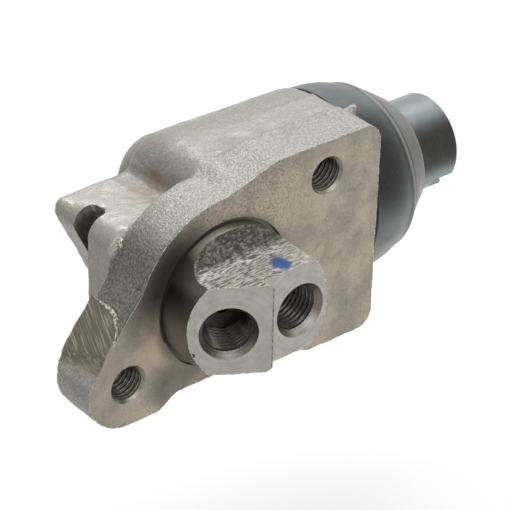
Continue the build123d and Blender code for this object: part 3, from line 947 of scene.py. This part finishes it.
# Lumps of the cast skin, and a slight raggedness where it meets a machined face
normals, sizes = face_normals(co, tri)
skin_out, other_out = np.zeros_like(co), np.zeros_like(co)
for k in range(3):
    np.add.at(skin_out, tri[:, k], normals * (sizes * (kind == CAST))[:, None])
    np.add.at(other_out, tri[:, k], normals * (sizes * (kind != CAST))[:, None])
on_cast = np.linalg.norm(skin_out, axis=1) > 0
for i in np.nonzero(on_cast)[0]:
    n, p = Vector(skin_out[i]), Vector(co[i])
    if not_cast[i]:
        h = Vector(other_out[i]).normalized()
        n = n - n.dot(h) * h
        amount = 0.16 * smooth_noise(p, 2.6, 3.1) + 0.08 * smooth_noise(p, 0.9, 8.2)
    elif p.x > FLANGE_END + 0.05 and p.z > 19:
        amount = 0.35 * smooth_noise(p, 1.3, 2.4)
    else:
        amount = (
            0.14 * smooth_noise(p, 5.0, 1.3)
            + 0.09 * smooth_noise(p, 1.7, 4.4)
            + (0.10 if p.y < FLANGE_BACK else 0.05) * smooth_noise(p, 0.95, 7.9)
        )
    if n.length > 1e-9:
        co[i] += np.array(n.normalized()) * amount

# Marks of the casting and painted shade, as values from nought to one at each point


def stain_and_shade_at(p, r):
    """Partly a brown stain, partly painted shade: brown and dark in the head's cove, and painted shade round
    and to the left of the spigot.
    """
    if r < SPIGOT_R and -13 < p.y < -1.6 and p.z > 8:
        return 0.97 * fade(p.y + 0.5 * smooth_noise(p, 1.5, 6.6), -5.8, -3.6)
    if abs(p.y) >= 0.05 or r <= SPIGOT_R:
        return 0
    angle = math.degrees(math.atan2(p.z, -p.x))
    reach = 64 if angle < 34 else 64 - 6 * min(max(r - 16, 0), 5)
    side = 0.98 * fade(abs(angle - 34), reach, 14) * fade(r, 26, 17) ** 0.5
    ring = 0.35 * fade(r, 17.2, 15.4)
    below = 0.3 * fade(abs(angle + 75), 55, 10) * fade(r, 24, 15.5)
    corner = 0.62 * fade((p - Vector((-12.4, 0, -15.5))).length, 8, 1.5)
    left = 0.5 * fade(r, 18, 15.6) * fade(abs(angle + 20), 50, 20)
    return max(side, ring, below, corner, left)


def painted_shade_at(p, r, facing_left):
    """Painted shade: darker on the flange rim's side that faces left and a little towards +X, and over the
    barrel, more towards its far side.
    """
    if 0 < p.y < FLANGE_BACK and r > SPIGOT_R:
        return 0.85 * fade(facing_left, 0.54, 0.8) * fade(p.z, -3, 2) + 0.22 * fade(p.x, 4, 24)
    if p.y > FLANGE_BACK and p.x > -6:
        return 0.28 + 0.1 * fade(p.y, 15, 26)
    return 0


def paint_at(p, r):
    """The oval paint mark in the cove, leaning a little."""
    if p.z <= 8 or r >= SPIGOT_R:
        return 0
    x, y = p.x - 5.1, p.y + 10.1
    along, across = (x * 0.2 - y * 0.98) / 2.45, (x * 0.98 + y * 0.2) / 1.75
    return fade(math.hypot(along, across) + 0.2 * smooth_noise(p, 0.9, 5.5), 1.1, 0.8)


marks = {name: np.zeros(len(co)) for name in ("stain_and_shade", "skin", "paint", "painted_shade", "saddle")}
for i in range(len(co)):
    p = Vector(co[i])
    r = math.hypot(p.x, p.z)
    marks["stain_and_shade"][i] = stain_and_shade_at(p, r)
    marks["skin"][i] = 1 - 0.72 * fade(p.y, FLANGE_BACK - 0.5, FLANGE_BACK + 0.8)
    marks["painted_shade"][i] = painted_shade_at(p, r, -Vector(skin_out[i]).normalized().x if on_cast[i] else 0)
    marks["saddle"][i] = p.z > 8 and r < SPIGOT_R + 0.1 and p.y < -1.6
    marks["paint"][i] = paint_at(p, r)


def point_values(mesh, name, values):
    """Give a mesh's points values for a material to use."""
    layer = mesh.attributes.new(name, "FLOAT", "POINT")
    layer.data.foreach_set("value", np.array(values, np.float32))


def shade_smooth(mesh):
    mesh.polygons.foreach_set("use_smooth", np.ones(len(mesh.polygons), bool))


casting_mesh = new_mesh("casting", [tuple(p) for p in co * MM], tri.tolist())
casting_mesh.polygons.foreach_set("material_index", kind.astype(np.int32))
shade_smooth(casting_mesh)
for name, values in marks.items():
    point_values(casting_mesh, name, values)
turn = turn_cosines(co, tri, sides)
unlike = kind[sides[:, 0]] != kind[sides[:, 1]]
hard = (~both_cast & (turn < SHARP_TURN)) | (unlike & (turn < HARD_TURN))
hard_keys = {tuple(e) for e in edges[hard]}
got = np.zeros(len(casting_mesh.edges) * 2, np.int32)
casting_mesh.edges.foreach_get("vertices", got)
sharp = [tuple(sorted(e)) in hard_keys for e in got.reshape(-1, 2).tolist()]
casting_mesh.edges.foreach_set("use_edge_sharp", sharp)
for k in KINDS:
    casting_mesh.materials.append(MATS[k])
casting_mesh.validate()
casting = add_object("casting", casting_mesh)
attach(casting, "cylinder")
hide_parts("cylinder_body")


def piece(name, mesh, material, body="cylinder"):
    """Put a mesh into the scene as a piece that rides on a body."""
    mesh.materials.append(material)
    obj = add_object(name, mesh)
    if body:
        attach(obj, body)
    return obj


def mesh_of(bm, name):
    """The mesh of a finished bmesh."""
    mesh = bpy.data.meshes.new(name)
    bm.to_mesh(mesh)
    bm.free()
    return mesh


def tube_along(bm, chain, closed, radius):
    """A thin closed bead along a chain of points, its thickness set by the function radius."""
    n = len(chain)
    rings = []
    for i, p in enumerate(chain):
        a = chain[(i - 1) % n] if closed or i else p
        b = chain[(i + 1) % n] if closed or i < n - 1 else p
        t = (b - a).normalized()
        u = t.orthogonal().normalized()
        w = t.cross(u)
        r = radius(p)
        ring = [p + (u * math.cos(x) + w * math.sin(x)) * r for x in (0.8, 2.4, 3.9, 5.5)]
        rings.append([bm.verts.new(v * MM) for v in ring])
    for i in range(n if closed else n - 1):
        a, b = rings[i], rings[(i + 1) % n]
        best = min(range(4), key=lambda s: sum((a[k].co - b[(k + s) % 4].co).length for k in range(4)))
        bridge(bm, a, b[best:] + b[:best])
    if not closed:
        bm.faces.new(list(reversed(rings[0])))
        bm.faces.new(rings[-1])


def chains(pairs):
    """Join vertex pairs into chains of vertex numbers."""
    links = {}
    for a, b in pairs:
        links.setdefault(a, []).append(b)
        links.setdefault(b, []).append(a)
    left = {frozenset(p) for p in pairs}
    out = []
    for start in sorted(links, key=lambda v: len(links[v]) == 2):
        for other in links[start]:
            walk = [start]
            while {walk[-1], other} in left:
                left.discard({walk[-1], other})
                walk.append(other)
                if len(links[other]) == 2:
                    other = next((v for v in links[other] if {other, v} in left), other)
            if len(walk) > 1:
                out.append(walk)
    return out


def bead(p):
    """Half the thickness of the bright edge at a place: heavy on the ground facet's rim."""
    base = 0.06 + 0.07 * smooth_noise(p, 1.1, 2.2) + 0.04 * smooth_noise(p, 0.4, 6.1)
    if p.x < -20 and p.y > 0.3 and p.z < 5:
        heap = fade((p - Vector((-23.7, 4.2, 1.9))).length, 6, 1.5)
        base += heap * (0.36 + 0.2 * smooth_noise(p, 0.5, 4.7))
    return max(base, 0.012)


cut = np.isin(kind[sides], [KINDS.index(k) for k in ("machined", "port", "ground")])
beside = np.isin(kind[sides], [KINDS.index(k) for k in ("cast", "turned", "rim")])
meets = (cut[:, 0] & beside[:, 1]) | (cut[:, 1] & beside[:, 0])
meets &= turn < BURR_TURN
bm = bmesh.new()
for walk in chains([tuple(e) for e in edges[meets].tolist()]):
    x, y, z = co[walk].T
    if len(walk) < 6 or ((np.hypot(x, z) < SPIGOT_R + 1.2) & (y > -2)).all():
        continue
    closed = walk[0] == walk[-1]
    tube_along(bm, [Vector(co[i]) for i in (walk[:-1] if closed else walk)], closed, bead)
bmesh.ops.recalc_face_normals(bm, faces=bm.faces)
piece("edge_burrs", mesh_of(bm, "edge_burrs"), MATS["rim"])

# A small lump of metal left on the collar's back edge
LUMP_AT, LUMP_R = Vector((-16.35, 10.45, 11.95)), 0.95
bm = bmesh.new()
bmesh.ops.create_icosphere(bm, subdivisions=4, radius=1.0)
for v in bm.verts:
    r = 0.95 + 0.45 * smooth_noise(v.co, 0.8, 9.3) + 0.12 * smooth_noise(v.co, 0.3, 2.1)
    v.co = (LUMP_AT + v.co * r * LUMP_R) * MM
lump_mesh = mesh_of(bm, "casting_lump")
shade_smooth(lump_mesh)
piece("casting_lump", lump_mesh, MATS["rim"])

# Threads
THREAD_PITCH = 1.06


def facing_out(mesh):
    """Turn the faces of a closed mesh outward and shade them smooth."""
    bm = bmesh.new()
    bm.from_mesh(mesh)
    bmesh.ops.recalc_face_normals(bm, faces=bm.faces)
    for f in bm.faces:
        f.smooth = True
    for e in bm.edges:
        if len(e.link_faces) == 2 and e.calc_face_angle() > math.radians(40):
            e.smooth = False
    bm.to_mesh(mesh)
    bm.free()


def closed_grid(rows, columns):
    """The faces of a grid of points that closes both ways."""
    faces = []
    for i in range(rows):
        k = (i + 1) % rows
        for j in range(columns):
            m = (j + 1) % columns
            faces.append((i * columns + j, k * columns + j, k * columns + m, i * columns + m))
    return faces


def thread_piece(name, hole, crest, outer, start, end, material):
    """A closed ring with a helical thread inside, seated in the set-back wall of a tapped hole."""
    around, steps = 72, int((end - start) / THREAD_PITCH * 12)
    first, last = start + 0.02, end - 0.02
    w = hole[1]
    u = w.orthogonal().normalized()
    v = w.cross(u)
    root = outer - 0.14
    verts, crests = [], []

    def place(r, a, depth):
        return (hole[0] + (u * math.cos(a) + v * math.sin(a)) * r - w * depth) * MM

    for i in range(steps + 1):
        depth = first + (last - first) * i / steps
        for j in range(around):
            h = abs(2 * ((depth / THREAD_PITCH + j / around) % 1) - 1)
            h = min(max((h - 0.06) / 0.82, 0), 1)
            r = crest + (root - crest) * h
            if crest == CONE_FOOT:
                r = max(r, CONE_MOUTH - depth * (CONE_MOUTH - CONE_FOOT) / CONE_DEPTH)
            verts.append(place(r, 2 * math.pi * j / around, depth))
            crests.append(fade(h, 0.35, 0.05))
    for depth in (last, first):
        verts += [place(outer - 0.03, 2 * math.pi * j / around, depth) for j in range(around)]
        crests += [0] * around
    mesh = new_mesh(name, verts, closed_grid(steps + 3, around))
    point_values(mesh, "crest", crests)
    facing_out(mesh)
    piece(name, mesh, material)


for name, material, seat in zip(
    ("port_thread_closed_side", "port_thread_open_side", "bolt_thread_upper", "bolt_thread_lower"),
    ("port_wall", "port_wall", "bolt_wall", "bolt_wall"),
    THREADS,
):
    thread_piece(name, *seat, MATS[material])

# Boot


def lathe(name, profile, around, drop):
    """A closed ring turned about the bore axis from a closed profile of (x, radius) points."""
    verts = []
    for j in range(around):
        a = 2 * math.pi * j / around
        for x, r in profile:
            y, z = BORE_Y + r * math.cos(a), BORE_Z + r * math.sin(a) + drop(x, a)
            verts.append(Vector((x, y, z)) * MM)
    mesh = new_mesh(name, verts, closed_grid(around, len(profile)))
    facing_out(mesh)
    return mesh


def arc_points(first, middle, last, n):
    """Points on the circle through three profile points."""
    (ax, ay), (bx, by), (cx, cy) = first, middle, last
    a2, b2, c2 = ax**2 + ay**2, bx**2 + by**2, cx**2 + cy**2
    d = 2 * (ax * (by - cy) + bx * (cy - ay) + cx * (ay - by))
    ux = (a2 * (by - cy) + b2 * (cy - ay) + c2 * (ay - by)) / d
    uy = (a2 * (cx - bx) + b2 * (ax - cx) + c2 * (bx - ax)) / d
    radius = math.hypot(ax - ux, ay - uy)
    a0, a1 = math.atan2(ay - uy, ax - ux), math.atan2(cy - uy, cx - ux)
    turns = [a0 + (a1 - a0) * i / n for i in range(n + 1)]
    return [(ux + radius * math.cos(a), uy + radius * math.sin(a)) for a in turns]


outer = arc_points((39.0, 19.5), (42.5, 19.62), (49.6, 17.85), 14)
inner = arc_points((42.0, 17.8), (43.5, 18.0), (49.05, 16.3), 6)
boot_profile = (
    [(39.0, 19.3), (39.15, 19.52)]
    + outer[1:-1]
    + [(49.7, 17.88), (49.9, 17.95), (50.15, 17.97), (50.4, 17.9), (50.6, 17.75), (50.75, 17.5)]
    + [(50.9, 17.25), (51.1, 17.05), (51.4, 16.92), (51.8, 16.7), (52.2, 16.46), (54.2, 15.05)]
    + [(56.3, 13.62), (57.2, 12.98), (57.55, 12.8), (57.72, 12.55), (57.7, 12.3), (57.7, 9.9), (57.34, 9.86)]
    + [(57.34, 8.76), (55.26, 8.76), (55.25, 11.7)]
    + list(reversed(inner))
    + [(42.0, 14.6), (40.0, 14.6), (40.0, 16.0), (39.0, 16.0)]
)


def sag(x, a):
    """How far the dome hangs below its place, with a slight wave round it."""
    return -0.35 * fade(x, 38.8, 42) * fade(x, 54, 50) + 0.03 * math.sin(3 * a + 0.4 * x)


boot = piece("boot", lathe("boot", boot_profile, 160, sag), rubber_material(), None)
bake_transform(boot)
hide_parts("dust_boot")

# Spring
WIRE_R, COIL_R, TURNS = 0.55, 5, 4.5
COIL_FROM, COIL_TO = 2.55, 14.05
wire = bpy.data.curves.new("spring", "CURVE")
wire.dimensions = "3D"
wire.bevel_depth = WIRE_R * MM
wire.bevel_resolution = 3
wire.use_fill_caps = True
spline = wire.splines.new("POLY")
count = 150
spline.points.add(count)
for i in range(count + 1):
    a = 2 * math.pi * TURNS * i / count
    x = COIL_FROM + (COIL_TO - COIL_FROM) * i / count
    place = Vector((x, BORE_Y + COIL_R * math.cos(a), BORE_Z - COIL_R * math.sin(a))) * MM
    spline.points[i].co = (*place, 1)
source = add_object("spring_source", wire)
spring_mesh = bpy.data.meshes.new_from_object(source)
bpy.data.objects.remove(source)
shade_smooth(spring_mesh)
steel = plain_metal("spring_steel", (150, 150, 148), (110, 110, 108))
spring = piece("spring", spring_mesh, steel, None)
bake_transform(spring)
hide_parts("return_spring")

# Carried-over nodes


def dress(node, material):
    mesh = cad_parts[node].data
    mesh.materials.clear()
    mesh.materials.append(material)


dress("piston", oxide_material())
dress("cup_filler", plain_metal("plated_steel", (190, 188, 180), (160, 158, 150)))
dress("piston_cup", mottled("seal_rubber", (2, 3, 0.6), (38, 38, 38), (56, 56, 55), 0.5, 0.0, (0.4, 0.01)))
